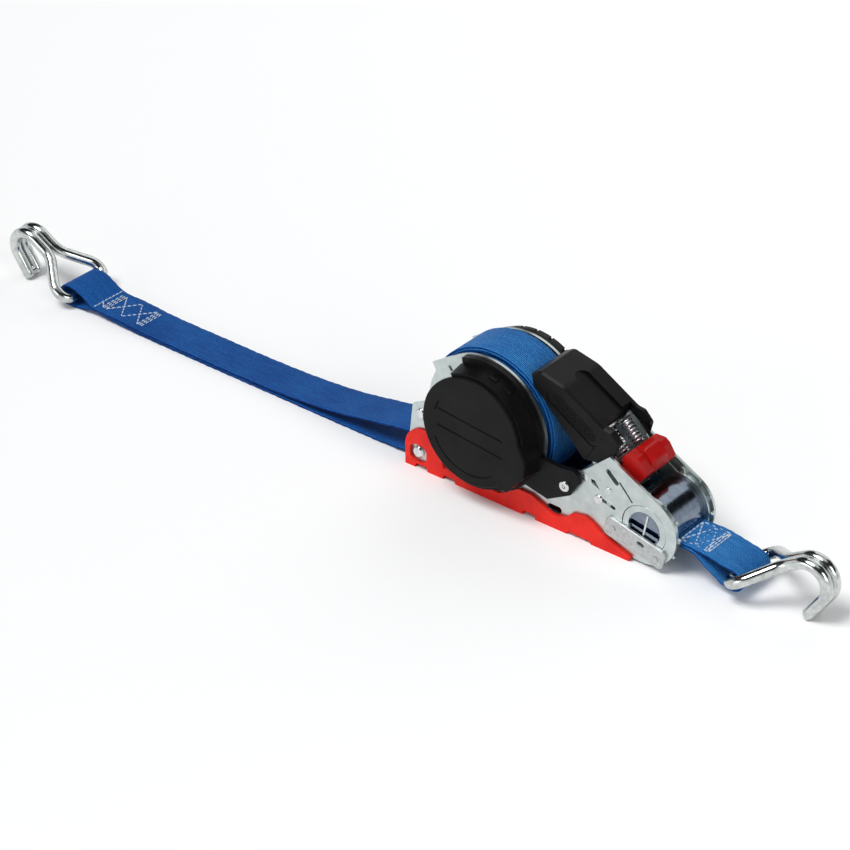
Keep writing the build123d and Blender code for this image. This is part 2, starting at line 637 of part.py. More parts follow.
with BuildPart() as handle_grip:
    with BuildSketch(Plane.XZ):
        with BuildLine():
            FilletPolyline(*grip_outline, radius=[1.5, 5, 9, 3, 2, 2, 3, 3, 3, 3, 2], close=True)
        make_face()
    extrude(amount=GRIP_HALF, both=True)
    chamfer(handle_grip.faces().filter_by(Plane.XZ).edges(), 1.1)
    with BuildSketch(Plane.XZ):
        with BuildLine():
            Polyline(*grip_cavity, close=True)
        make_face()
    extrude(amount=GRIP_INSIDE, both=True, mode=Mode.SUBTRACT)
    with BuildSketch(Plane.XZ):      # open top over the lever springs
        with BuildLine():
            Polyline((47, 90), (47, 60), (80, 50), (80, 90), close=True)
        make_face()
    extrude(amount=11.5, both=True, mode=Mode.SUBTRACT)
    with BuildSketch(Plane(origin=(37.5, 0, 75.0), x_dir=top_across, z_dir=top_normal)):
        SlotOverall(34, 9.6)         # long hollow in the top
    extrude(amount=-1.4, mode=Mode.SUBTRACT)
    for side in (NEAR, FAR):         # recess for the ribbed side panel, and the joint of the two mouldings
        with BuildSketch(side_plane(side, GRIP_HALF - 0.5, 2)):
            with Locations(Location((31.5, 66.0), -30.5)):
                SlotOverall(37, 8.4)
            with Locations(Location((44.2, 53), 59.5)):
                Rectangle(19, 0.5)
        extrude(amount=2, mode=Mode.SUBTRACT)
finish(handle_grip, "handle_grip")


# ---------------------------------------------------------------- drive pawl and red release lever
DRIVE_PAWL = 2.2
radial_pawl("drive_pawl", DRIVE_PAWL_ANGLE, DRIVE_PAWL,
            [(PAWL_REST, 26, PLATE_IN - 0.25), (26, 36, 12.3)])

LEVER_HALF = 12.4
lever_outline = [(61.0, 47.5), (60.2, 53.5), (62.5, 56.6), (68.6, 56.8), (71.2, 55.0), (75.2, 48.9),
                 (71.4, 43.6), (66, 44.6)]
with BuildPart() as release_lever:
    with BuildSketch(Plane.XZ):
        with BuildLine():
            Polyline(*lever_outline, close=True)
        make_face()
    extrude(amount=LEVER_HALF, both=True)
    fillet(release_lever.edges().filter_by(Axis.Y), 1.2)
    with BuildSketch(Plane.XZ):      # foot down to the pawl
        foot = [on_axis(DRIVE_PAWL_ANGLE, 28.5, DRIVE_PAWL / 2), on_axis(DRIVE_PAWL_ANGLE, 34.5, DRIVE_PAWL / 2),
                on_axis(DRIVE_PAWL_ANGLE, 33.5, 8.5), on_axis(DRIVE_PAWL_ANGLE, 27.5, 8.5)]
        with BuildLine():
            Polyline(*foot, close=True)
        make_face()
    extrude(amount=9, both=True)
with BuildPart() as thumb_bulge:     # raised rest for the thumb in the middle
    with BuildSketch(Plane.XZ):
        with BuildLine():
            FilletPolyline((62, 49), (63.4, 58.2), (69.5, 59.6), (75.6, 54.2), (75.6, 48.2), (70, 46),
                           radius=[2, 2.5, 2.5, 2.5, 2, 2], close=True)
        make_face()
    extrude(amount=6.4, both=True)
    chamfer(thumb_bulge.faces().filter_by(Plane.XZ).edges(), 1.8)
release_lever.part = release_lever.part + thumb_bulge.part
finish(release_lever, "release_lever")

coil_spring("lever_springs", DRIVE_PAWL_ANGLE, 36.5, 50.0, 7.0, 3.0, 0.55, 6, 6.2)


# ---------------------------------------------------------------- fixed strap: loop round the end bolt and hook
loop_r = SLEEVE_RADIUS + 0.25 + WEBBING / 2
LOW = WEBBING / 2 + 0.1           # centre of webbing lying on the ground
SEAM_END, SEAM_START = -307.0, -268.0
hook_loop_top = FIXED_HOOK_Z + HOOK_WIRE + 2.2 + WEBBING / 2
upper_route = [(SEAM_START, 3.0), (-221, 2.7), (-170, 3.2), (-130, 6.2), (-95, 12.4),
               (BOLT_X, BOLT_Z + loop_r)]
lower_route = [(BOLT_X, BOLT_Z - loop_r), (-90, 1.6), (-125, LOW), (SEAM_START, LOW)]

with BuildPart() as fixed_strap:
    with BuildSketch(Plane.XZ):
        with BuildLine():
            FilletPolyline(*upper_route, radius=60)
            ThreePointArc((BOLT_X, BOLT_Z + loop_r), (BOLT_X + loop_r, BOLT_Z), (BOLT_X, BOLT_Z - loop_r))
        trace(line_width=WEBBING)
        with BuildLine():
            FilletPolyline(*lower_route, radius=40)
        trace(line_width=WEBBING)
        with BuildLine():            # sewn double layer
            Polyline((SEAM_START, LOW - WEBBING / 2), (SEAM_START, 3.0 + WEBBING / 2),
                     (SEAM_END, 4.4 + WEBBING), (SEAM_END, 4.4 - WEBBING), close=True)
        make_face()
        with BuildLine():            # loose loop round the hook bar
            FilletPolyline((SEAM_END, 4.4 + WEBBING / 2), (-314.5, 9.4), (FIXED_HOOK_X + 1, hook_loop_top),
                           (FIXED_HOOK_X - 7.4, 10.6), (FIXED_HOOK_X - 7.4, 2.4),
                           (FIXED_HOOK_X - 1, LOW), (-313, LOW + 0.3),
                           (SEAM_END, 4.4 - WEBBING / 2), radius=[12, 8, 3.2, 3.2, 12, 14])
        trace(line_width=WEBBING)
    extrude(amount=HALF_WEB, both=True)
finish(fixed_strap, "fixed_strap")


# ---------------------------------------------------------------- adjustable strap end: sewn loop at the free hook
strap_exit = polar(DRUM_RADIUS + 0.5, SLOT_TILT)
free_top = FREE_HOOK_Z + HOOK_WIRE + 1.0 + WEBBING / 2
with BuildPart() as strap_end:
    with BuildSketch(Plane.XZ):
        with BuildLine():
            FilletPolyline(strap_exit, (99, 18.2), (108, 18.2), (120, 16.4), (FREE_HOOK_X, free_top),
                           (FREE_HOOK_X + 5.6, 13.4), (FREE_HOOK_X + 5.6, 6.6), (FREE_HOOK_X - 1, 4.2),
                           (116, 8.6), (104.5, 16.2), radius=[14, 14, 14, 8, 3.4, 3.4, 5, 12])
        trace(line_width=WEBBING)
        with BuildLine():            # the tail is sewn under the strap
            Polyline((95.5, 18.2), (99, 18.6), (108, 18.2), (108, 15.4), (104, 15.6), (96, 16.2), close=True)
        make_face()
    extrude(amount=HALF_WEB, both=True)
finish(strap_end, "strap_end")


# ---------------------------------------------------------------- double-J hooks
BAR_HALF, PAIR_HALF = 16.8, HOOK_WIRE + 0.2
BEND_RADIUS, BEND_TURN, TIP = 10.9, 154.0, 13.0
NECK_START, SHOULDER = 27.0, 9.5
FIXED_SHANK, FREE_SHANK = 40.0, 37.0


def bend_point(shank, turn):
    """Point of the J bend, in the hook's own axes, after a turn in degrees."""
    return (shank + BEND_RADIUS * sin(radians(turn)), -BEND_RADIUS + BEND_RADIUS * cos(radians(turn)))


def hook_pitch(bar_height, roll, tip_end):
    """Upward pitch of the shank that lays the tip on the ground."""
    tip_height = HOOK_WIRE + 0.05 + PAIR_HALF * sin(radians(abs(roll)))
    return asin((tip_height - bar_height) / hypot(*tip_end)) + atan2(-tip_end[1], tip_end[0])


def double_j_hook(name, bar_centre, way, yaw, roll, shank):
    """One bent wire: a D round the webbing, two strands side by side, and a J with a welded tip."""
    bend_end = bend_point(shank, BEND_TURN)
    tip_end = (bend_end[0] + TIP * cos(radians(BEND_TURN)), bend_end[1] - TIP * sin(radians(BEND_TURN)))
    pitch = hook_pitch(bar_centre[2], roll, tip_end)
    heading, tilt = radians(yaw), radians(roll)
    along = (way * cos(pitch) * cos(heading), way * cos(pitch) * sin(heading), sin(pitch))
    upward = (-way * sin(pitch) * cos(heading), -way * sin(pitch) * sin(heading), cos(pitch))
    level = Plane(origin=bar_centre, x_dir=along, z_dir=upward)
    own = Plane(origin=bar_centre, x_dir=along, z_dir=level.z_dir * cos(tilt) - level.y_dir * sin(tilt))
    middle_bend = bend_point(shank, BEND_TURN / 2)
    with BuildPart() as hook:
        with BuildLine(own) as wire:
            ends = []
            for side in (1, -1):
                across = side * PAIR_HALF
                Line((tip_end[0], across, tip_end[1]), (bend_end[0], across, bend_end[1]))
                ThreePointArc((bend_end[0], across, bend_end[1]), (middle_bend[0], across, middle_bend[1]),
                              (shank, across, 0))
            FilletPolyline((shank, PAIR_HALF, 0), (NECK_START, PAIR_HALF, 0), (SHOULDER, BAR_HALF, 0),
                           (0, BAR_HALF, 0), (0, -BAR_HALF, 0), (SHOULDER, -BAR_HALF, 0),
                           (NECK_START, -PAIR_HALF, 0), (shank, -PAIR_HALF, 0),
                           radius=[14, 10, 5.4, 5.4, 10, 14])
        path = wire.wires()[0]
        with BuildSketch(Plane(origin=path @ 0, z_dir=path % 0)):
            Circle(HOOK_WIRE)
        sweep(path=path)
        for across in (PAIR_HALF, -PAIR_HALF):
            tip = own.from_local_coords(Vector(tip_end[0], across, tip_end[1]))
            with Locations(tip):
                Sphere(HOOK_WIRE)
        weld = Plane(origin=own.from_local_coords(Vector(tip_end[0], -PAIR_HALF, tip_end[1])),
                     z_dir=own.y_dir)
        with BuildSketch(weld):
            Circle(HOOK_WIRE - 0.6)
        extrude(amount=2 * PAIR_HALF)
    finish(hook, name)
    throat = own.from_local_coords(Vector(shank, 0, -BEND_RADIUS))
    print(name, "pitch", round(degrees(pitch), 1), "axis", tuple(round(v, 5) for v in own.y_dir),
          "throat", tuple(round(v, 2) for v in throat))


double_j_hook("fixed_hook", (FIXED_HOOK_X, 0, FIXED_HOOK_Z), -1, FIXED_HOOK_YAW, FIXED_HOOK_ROLL, FIXED_SHANK)
double_j_hook("free_hook", (FREE_HOOK_X, 0, FREE_HOOK_Z), 1, 0.0, 0.0, FREE_SHANK)
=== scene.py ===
import math

import bpy
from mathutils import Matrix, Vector


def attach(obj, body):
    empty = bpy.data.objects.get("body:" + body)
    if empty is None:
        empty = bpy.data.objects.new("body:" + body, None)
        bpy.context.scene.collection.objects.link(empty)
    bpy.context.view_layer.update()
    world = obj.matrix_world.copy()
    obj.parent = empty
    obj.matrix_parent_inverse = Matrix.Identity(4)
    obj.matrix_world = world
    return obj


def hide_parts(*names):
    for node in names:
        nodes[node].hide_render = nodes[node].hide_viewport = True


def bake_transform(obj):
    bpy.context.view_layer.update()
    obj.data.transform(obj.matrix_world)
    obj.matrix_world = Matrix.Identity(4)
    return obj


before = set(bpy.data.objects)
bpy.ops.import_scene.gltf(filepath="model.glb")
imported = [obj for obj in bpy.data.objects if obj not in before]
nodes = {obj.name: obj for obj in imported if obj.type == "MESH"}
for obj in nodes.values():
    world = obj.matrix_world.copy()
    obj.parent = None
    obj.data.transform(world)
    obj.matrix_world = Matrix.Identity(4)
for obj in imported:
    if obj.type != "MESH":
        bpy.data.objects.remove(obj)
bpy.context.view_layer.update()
MM = 0.001

# ------------------------------------------------------------------ sizes from the CAD, in mm and degrees
WEB_WIDTH, WEB_THICK, SLOT_WEB_WIDTH = 25.0, 1.25, 24.6
MANDREL = (78.0, 21.0)           # centres are (x, z)
SPOOL = (-20.5, 44.5)
DRUM_RADIUS = 15.4
BOLT = (-64.5, 9.5)
SLEEVE_RADIUS = 5.0
SLOT_TILT = -10.0
FREE_BAR_X = 127.5
DRIVE_PAWL_ANGLE, HOLDING_PAWL_ANGLE = 135, 165


# ------------------------------------------------------------------ material helpers
class Nodes:
    """Short way to write a node tree."""

    def __init__(self, name):
        self.mat = bpy.data.materials.new(name)
        self.mat.use_nodes = True
        self.tree = self.mat.node_tree
        self.shader = self.tree.nodes["Principled BSDF"]

    def add(self, kind, **values):
        node = self.tree.nodes.new(kind)
        for key, value in values.items():
            if key == "inputs":
                for slot_name, slot_value in value.items():
                    node.inputs[slot_name].default_value = slot_value
            else:
                setattr(node, key, value)
        return node

    def link(self, a, b):
        self.tree.links.new(a, b)

    def math(self, operation, a, b=0.0, c=0.0):
        node = self.add("ShaderNodeMath", operation=operation)
        for index, value in enumerate((a, b, c)):
            if isinstance(value, (int, float)):
                node.inputs[index].default_value = value
            else:
                self.link(value, node.inputs[index])
        return node.outputs[0]

    def ramp(self, source, stops):
        node = self.add("ShaderNodeValToRGB")
        elements = node.color_ramp.elements
        while len(elements) < len(stops):
            elements.new(0.5)
        for element, (place, colour) in zip(elements, stops):
            element.position = place
            element.color = (*colour, 1.0)
        self.link(source, node.inputs["Fac"])
        return node.outputs["Color"]

    def noise(self, scale, detail=4.0, roughness=0.55, coords=None, distortion=0.0):
        node = self.add("ShaderNodeTexNoise", inputs={"Scale": scale, "Detail": detail,
                                                      "Roughness": roughness, "Distortion": distortion})
        self.link(coords if coords is not None else self.object_coords(), node.inputs["Vector"])
        return node.outputs["Fac"]

    def object_coords(self, stretch=(1.0, 1.0, 1.0)):
        coords = self.add("ShaderNodeTexCoord")
        mapping = self.add("ShaderNodeMapping", inputs={"Scale": stretch})
        self.link(coords.outputs["Object"], mapping.inputs["Vector"])
        return mapping.outputs["Vector"]

    def bump(self, height, strength, distance, normal=None):
        node = self.add("ShaderNodeBump", inputs={"Strength": strength, "Distance": distance})
        self.link(height, node.inputs["Height"])
        if normal is not None:
            self.link(normal, node.inputs["Normal"])
        return node.outputs["Normal"]

    def set(self, **values):
        for key, value in values.items():
            self.shader.inputs[key.replace("_", " ")].default_value = value

    def drive(self, name, source):
        self.link(source, self.shader.inputs[name])


def plated_metal(name, dark, light, rough, spread, grain=260.0, bumpiness=0.12, fine=2400.0):
    """Plated or blasted steel: cloudy colour, cloudy gloss and a fine grain."""
    n = Nodes(name)
    clouds = n.noise(grain, 5.0, 0.6)
    specks = n.noise(fine, 3.0, 0.5)
    both = n.math("MULTIPLY_ADD", specks, 0.3, n.math("MULTIPLY", clouds, 0.7))
    n.drive("Base Color", n.ramp(both, [(0.3, dark), (0.62, light)]))
    n.drive("Roughness", n.math("MULTIPLY_ADD", clouds, spread, rough - spread / 2))
    n.drive("Normal", n.bump(both, bumpiness, 0.0002))
    n.set(Metallic=1.0)
    return n.mat


def drawn_metal(name, dark, light, rough, marks_depth=0.1):
    """Bright bent wire or turned steel, with faint drawing marks and small dull patches."""
    n = Nodes(name)
    marks = n.noise(90.0, 6.0, 0.7, n.object_coords((1.0, 6.0, 1.0)))
    patches = n.noise(420.0, 3.0, 0.5)
    both = n.math("MULTIPLY_ADD", patches, 0.4, n.math("MULTIPLY", marks, 0.6))
    n.drive("Base Color", n.ramp(both, [(0.34, dark), (0.6, light)]))
    n.drive("Roughness", n.math("MULTIPLY_ADD", patches, 0.16, rough - 0.08))
    n.drive("Normal", n.bump(both, marks_depth, 0.0002))
    n.set(Metallic=1.0)
    return n.mat


def moulded_plastic(name, dark, light, rough, grain, bumpiness, shine=0.2, coat=0.0):
    """Moulded plastic: a fine spark texture, slight cloudiness and rubbed, shinier patches."""
    n = Nodes(name)
    texture = n.noise(grain, 2.0, 0.5)
    clouds = n.noise(60.0, 4.0, 0.6)
    rubbed = n.noise(150.0, 6.0, 0.7)
    n.drive("Base Color", n.ramp(clouds, [(0.35, dark), (0.7, light)]))
    n.drive("Roughness", n.math("MULTIPLY_ADD", rubbed, -0.22, rough + 0.11))
    n.drive("Normal", n.bump(texture, bumpiness, 0.00015))
    n.set(IOR=1.45, Specular_IOR_Level=shine, Coat_Weight=coat, Coat_Roughness=0.2)
    return n.mat


def webbing_material(name, dark, middle, light):
    """Woven polyester strap. UV x runs across the strap and y along it, 1 unit for each 25 mm."""
    n = Nodes(name)
    uv = n.add("ShaderNodeUVMap", uv_map="weave")
    parts = n.add("ShaderNodeSeparateXYZ")
    n.link(uv.outputs["UV"], parts.inputs["Vector"])
    across = n.math("MULTIPLY", parts.outputs["X"], 22.0)
    row = n.math("FLOOR", across)
    rib = n.math("SINE", n.math("MULTIPLY", n.math("FRACT", across), math.pi))
    stretch = n.add("ShaderNodeMapping", inputs={"Scale": (2.2, 20.0, 1.0)})
    n.link(uv.outputs["UV"], stretch.inputs["Vector"])
    yarn = n.noise(4.0, 6.0, 0.72, stretch.outputs["Vector"])
    lengthwise = n.add("ShaderNodeMapping", inputs={"Scale": (16.0, 0.9, 1.0)})
    n.link(uv.outputs["UV"], lengthwise.inputs["Vector"])
    warp = n.noise(2.0, 4.0, 0.6, lengthwise.outputs["Vector"])
    wander = n.math("MULTIPLY_ADD", yarn, 1.6, n.math("MULTIPLY", parts.outputs["Y"], 17.0))
    along = n.math("MULTIPLY_ADD", row, 0.5, wander)
    pick = n.math("MULTIPLY_ADD", n.math("SINE", n.math("MULTIPLY", along, 2 * math.pi)), 0.5, 0.5)
    weave = n.math("MULTIPLY", rib, n.math("MULTIPLY_ADD", pick, 0.22, 0.78))
    clouds = n.noise(30.0, 5.0, 0.65)
    tone = n.math("ADD", n.math("MULTIPLY_ADD", weave, 0.30, n.math("MULTIPLY", warp, 0.24)),
                  n.math("MULTIPLY_ADD", yarn, 0.46, n.math("MULTIPLY", clouds, 0.18)))
    n.drive("Base Color", n.ramp(tone, [(0.40, dark), (0.60, middle), (0.80, light)]))
    height = n.math("MULTIPLY_ADD", yarn, 0.9, weave)
    n.drive("Normal", n.bump(height, 0.7, 0.00035))
    n.set(Roughness=0.55, Sheen_Weight=0.02, Sheen_Roughness=0.35, IOR=1.45, Specular_IOR_Level=0.1)
    return n.mat


def thread_material(name, dark, light):
    """Twisted sewing thread."""
    n = Nodes(name)
    twist = n.noise(2600.0, 3.0, 0.6)
    n.drive("Base Color", n.ramp(twist, [(0.3, dark), (0.7, light)]))
    n.drive("Normal", n.bump(twist, 0.5, 0.0002))
    n.set(Roughness=0.6, Sheen_Weight=0.1)
    return n.mat


zinc = plated_metal("zinc_plate", (0.43, 0.49, 0.485), (0.61, 0.67, 0.66), 0.33, 0.14, 120.0, 0.08)
blasted = plated_metal("blasted_zinc", (0.36, 0.38, 0.38), (0.56, 0.58, 0.58), 0.48, 0.14,
                       500.0, 0.35, 3800.0)
wire = drawn_metal("zinc_wire", (0.40, 0.42, 0.41), (0.66, 0.69, 0.67), 0.16)
turned = drawn_metal("turned_steel", (0.50, 0.52, 0.53), (0.78, 0.80, 0.80), 0.2)
# painted reflection: the drum's dark, navy-tinted base colour stands in for the dark webbing and handle
# that the bright chrome reflects
chrome = drawn_metal("drum_chrome", (0.15, 0.18, 0.23), (0.23, 0.27, 0.33), 0.17, 0.03)
spring = drawn_metal("spring_wire", (0.42, 0.43, 0.44), (0.66, 0.68, 0.70), 0.26)
red = moulded_plastic("red_plastic", (0.60, 0.010, 0.006), (0.76, 0.020, 0.010), 0.42, 1500.0, 0.10, 0.22)
lever_red = moulded_plastic("lever_red_plastic", (0.28, 0.0035, 0.0035), (0.40, 0.006, 0.005), 0.30,
                            1500.0, 0.08, 0.2, 0.05)
black = moulded_plastic("black_plastic", (0.0030, 0.0030, 0.0032), (0.0065, 0.0064, 0.0063), 0.34,
                        1900.0, 0.2, 0.15)
black_face = moulded_plastic("black_satin_plastic", (0.0055, 0.0058, 0.0055), (0.0090, 0.0092, 0.0087),
                             0.46, 2300.0, 0.3, 0.11)
webbing = webbing_material("blue_webbing", (0.001, 0.012, 0.082), (0.002, 0.050, 0.240),
                           (0.020, 0.17, 0.49))
# painted light: a lighter, bluer copy of the blue webbing, brightened to lift the shade on the roll edge;
# used on the roll, run, slot piece and strap end
shade_lifted_webbing = webbing_material("shade_lifted_webbing", (0.001, 0.020, 0.12), (0.006, 0.100, 0.35),
                                (0.070, 0.33, 0.66))
thread = thread_material("pale_thread", (0.26, 0.38, 0.52), (0.66, 0.72, 0.80))

node_materials = {
    "base_tray": red, "side_plate_near": zinc, "side_plate_far": zinc,
    "end_bolt": turned, "end_bolt_sleeve": turned, "upper_cross_pin": turned, "neck_bolt": turned,
    "neck_spacer": turned, "spring_seat_pin": turned, "plate_rivets": turned, "keeper_plate_near": blasted,
    "keeper_plate_far": blasted, "keeper_rivets": blasted, "retractor_housing": black,
    "retractor_cap": black_face, "foot_screw": turned, "clock_spring": spring, "far_housing": black,
    "far_screws": turned, "spool_hub": black, "mandrel_half_upper": chrome,
    "mandrel_half_lower": chrome, "cotter_pins": turned, "ratchet_wheel_near": zinc,
    "ratchet_wheel_far": zinc, "holding_pawl": blasted, "holding_pawl_springs": spring,
    "handle_plate_near": zinc, "handle_plate_far": zinc, "handle_cross_pin": turned,
    "grip_pin": turned, "handle_grip": black, "drive_pawl": blasted, "release_lever": lever_red,
    "lever_springs": spring, "fixed_hook": wire, "free_hook": wire,
    "webbing_roll": shade_lifted_webbing, "webbing_run": shade_lifted_webbing, "webbing_in_slot": shade_lifted_webbing,
    "fixed_strap": webbing, "strap_end": shade_lifted_webbing,
}
for node_name, material in node_materials.items():
    node = nodes[node_name]
    node.data.materials.clear()
    node.data.materials.append(material)

bevelled = {
    "base_tray": 0.45, "side_plate_near": 0.22, "side_plate_far": 0.22, "retractor_housing": 0.5,
    "far_housing": 0.5, "handle_grip": 1.1, "release_lever": 0.5, "handle_plate_near": 0.2,
    "handle_plate_far": 0.2, "ratchet_wheel_near": 0.2, "ratchet_wheel_far": 0.2,
    "mandrel_half_upper": 0.3, "mandrel_half_lower": 0.3, "drive_pawl": 0.25, "holding_pawl": 0.2,
    "foot_screw": 0.15, "retractor_cap": 0.18,
}
for node_name, width in bevelled.items():
    bevel = nodes[node_name].modifiers.new("edge", "BEVEL")
    bevel.width = width * MM
    bevel.segments = 2
    bevel.limit_method = "ANGLE"
    bevel.angle_limit = math.radians(35)
    bevel.harden_normals = False
    bevel.use_clamp_overlap = True


# ------------------------------------------------------------------ mesh helpers
CURVE_STEPS = 24        # points in each span of a smooth curve, before it is resampled
SELVAGE_IN, SELVAGE_LOW, SELVAGE_TIP = 0.45, 0.72, 0.12    # rounding of the strap edge
THREAD_SIDES = 6


def mesh_object(name, vertices, faces, material, smooth=True):
    """New object from vertices in metres."""
    mesh = bpy.data.meshes.new(name)
    mesh.from_pydata(vertices, [], faces)
    mesh.materials.append(material)
    for polygon in mesh.polygons:
        polygon.use_smooth = smooth
    mesh.update()
    obj = bpy.data.objects.new(name, mesh)
    bpy.context.scene.collection.objects.link(obj)
    return obj


def curve_through(points, step, closed=False):
    """Centripetal Catmull-Rom curve through points, resampled at even steps (all mm)."""
    pts = [Vector(p) for p in points]
    count = len(pts)
    spans = count if closed else count - 1
    fine = []
    for i in range(spans):
        if closed:
            p0, p1, p2, p3 = (pts[(i + k) % count] for k in (-1, 0, 1, 2))
        else:
            p1, p2 = pts[i], pts[i + 1]
            p0 = pts[i - 1] if i > 0 else p1 * 2 - p2
            p3 = pts[i + 2] if i + 2 < count else p2 * 2 - p1
        t01 = max((p1 - p0).length ** 0.5, 1e-6)
        t12 = max((p2 - p1).length ** 0.5, 1e-6)
        t23 = max((p3 - p2).length ** 0.5, 1e-6)
        m1 = (p2 - p1 + t12 * ((p1 - p0) / t01 - (p2 - p0) / (t01 + t12)))
        m2 = (p2 - p1 + t12 * ((p3 - p2) / t23 - (p3 - p1) / (t12 + t23)))
        for k in range(CURVE_STEPS):
            t = k / CURVE_STEPS
            a = 2 * t ** 3 - 3 * t ** 2 + 1
            b = t ** 3 - 2 * t ** 2 + t
            c = -2 * t ** 3 + 3 * t ** 2
            d = t ** 3 - t ** 2
            fine.append(a * p1 + b * m1 + c * p2 + d * m2)
    fine.append(pts[0] if closed else pts[-1])
    lengths = [0.0]
    for a, b in zip(fine, fine[1:]):
        lengths.append(lengths[-1] + (b - a).length)
    total = lengths[-1]
    pieces = max(2, round(total / step))
    out, j = [], 0
    for k in range(pieces + 1):
        s = total * k / pieces
        while j < len(lengths) - 2 and lengths[j + 1] < s:
            j += 1
        part = (s - lengths[j]) / max(lengths[j + 1] - lengths[j], 1e-9)
        out.append(fine[j].lerp(fine[j + 1], part))
    if closed:
        out.pop()
    return out


def webbing_ribbon(name, path, material, closed=False, width=WEB_WIDTH, across_count=8, wave=0.0):
    """Strap mesh along a path (mm), with rounded selvages and weave UVs; returns it and its length."""
    half, t = width / 2, WEB_THICK / 2
    top = [(-half + SELVAGE_IN + (width - 2 * SELVAGE_IN) * k / across_count, t)
           for k in range(across_count + 1)]
    edge, low = half - SELVAGE_TIP, t * SELVAGE_LOW
    profile = top + [(edge, low), (half, 0.0), (edge, -low)]
    profile += [(-a, -b) for a, b in top]
    profile += [(-edge, -low), (-half, 0.0), (-edge, low)]
    ring = len(profile)
    count = len(path)
    vertices, along = [], [0.0]
    for i in range(1, count + (1 if closed else 0)):
        along.append(along[-1] + (path[i % count] - path[i - 1]).length)
    for i, p in enumerate(path):
        before = path[i - 1] if (i > 0 or closed) else p
        after = path[(i + 1) % count] if (i + 1 < count or closed) else p
        tangent = (after - before).normalized()
        side = Vector((0, 1, 0))
        side = (side - tangent * side.dot(tangent)).normalized()
        normal = tangent.cross(side).normalized()
        spread = 1 + 0.010 * math.sin(along[i] * 1.21) + 0.008 * math.sin(along[i] * 0.47 + 1.0)
        for a, b in profile:
            lift = wave * (1 + math.sin(along[i] * 0.16 + a * 0.3)) / 2 * (a / half) ** 2
            vertices.append(tuple((p + side * a * spread + normal * (b + lift)) * MM))
    faces, uvs = [], []
    spans = count if closed else count - 1
    for i in range(spans):
        j = (i + 1) % count
        for k in range(ring):
            m = (k + 1) % ring
            faces.append((i * ring + k, j * ring + k, j * ring + m, i * ring + m))
            u0, u1 = (profile[k][0] + half) / WEB_WIDTH, (profile[m][0] + half) / WEB_WIDTH
            v0, v1 = along[i] / WEB_WIDTH, along[i + 1] / WEB_WIDTH
            uvs.append(((u0, v0), (u0, v1), (u1, v1), (u1, v0)))
    if not closed:
        faces.append(tuple(range(ring)))
        faces.append(tuple((count - 1) * ring + k for k in reversed(range(ring))))
        for i in (0, count - 1):
            order = range(ring) if i == 0 else reversed(range(ring))
            uvs.append(tuple(((profile[k][0] + half) / WEB_WIDTH, along[i] / WEB_WIDTH) for k in order))
    obj = mesh_object(name, vertices, faces, material)
    layer = obj.data.uv_layers.new(name="weave")
    for polygon, corners in zip(obj.data.polygons, uvs):
        for loop, corner in zip(polygon.loop_indices, corners):
            layer.data[loop].uv = corner
    return obj, along[-1]


def stitches(name, lines, pitch=2.9, length=2.75, radius=0.4):
    """Rows of thread stitches; each line is ((point, up), (point, up)) in mm."""
    vertices, faces = [], []
    rings = ((0.0, 0.25), (0.12, 0.75), (0.35, 1.0), (0.65, 1.0), (0.88, 0.75), (1.0, 0.25))
    sides = THREAD_SIDES
    for (p0, up0), (p1, up1) in lines:
        p0, p1 = Vector(p0), Vector(p1)
        span = p1 - p0
        number = max(1, int(span.length / pitch))
        way = span.normalized()
        for k in range(number):
            middle = p0 + span * ((k + 0.5) / number)
            up = Vector(up0).lerp(Vector(up1), (k + 0.5) / number).normalized()
            side = way.cross(up).normalized()
            base = len(vertices)
            for t, size in rings:
                arch = radius * 0.25 - radius * 0.8 * (2 * t - 1) ** 2
                centre = middle + way * (t - 0.5) * length + up * arch
                for q in range(sides):
                    angle = math.tau * q / sides
                    offset = side * math.cos(angle) + up * math.sin(angle)
                    vertices.append(tuple((centre + offset * radius * size) * MM))
            last = base + (len(rings) - 1) * sides
            for start in range(base, last, sides):
                for q in range(sides):
                    s = (q + 1) % sides
                    faces.append((start + q, start + s, start + sides + s, start + sides + q))
            faces.append(tuple(base + q for q in reversed(range(sides))))
            faces.append(tuple(last + q for q in range(sides)))
    obj = mesh_object(name, vertices, faces, thread)
    return obj


def polar(radius, angle, centre=MANDREL):
    """Point in the XZ plane round a centre (mm)."""
    return (centre[0] + radius * math.cos(math.radians(angle)),
            centre[1] + radius * math.sin(math.radians(angle)))


def flat_path(points):
    """Points (x, z) to vectors in the middle plane."""
    return [Vector((x, 0.0, z)) for x, z in points]


# ------------------------------------------------------------------ webbing wound on the spool
ROLL_IN, ROLL_OUT, ROLL_TURNS, TURN_STEPS = 12.9, 39.35, 20, 72
roll_path = []
for i in range(ROLL_TURNS * TURN_STEPS + 1):
    turn = i / TURN_STEPS
    radius = ROLL_IN + (ROLL_OUT - ROLL_IN) * turn / ROLL_TURNS
    angle = -105 + 360 * turn
    drift = 0.35 * math.sin(turn * 2.3) + 0.15 * math.sin(turn * 17.0)
    x, z = polar(radius, angle, SPOOL)
    roll_path.append(Vector((x, drift, z)))
roll, roll_length = webbing_ribbon("webbing_roll_spiral", roll_path, shade_lifted_webbing, across_count=4)
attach(roll, "spool")
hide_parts("webbing_roll")

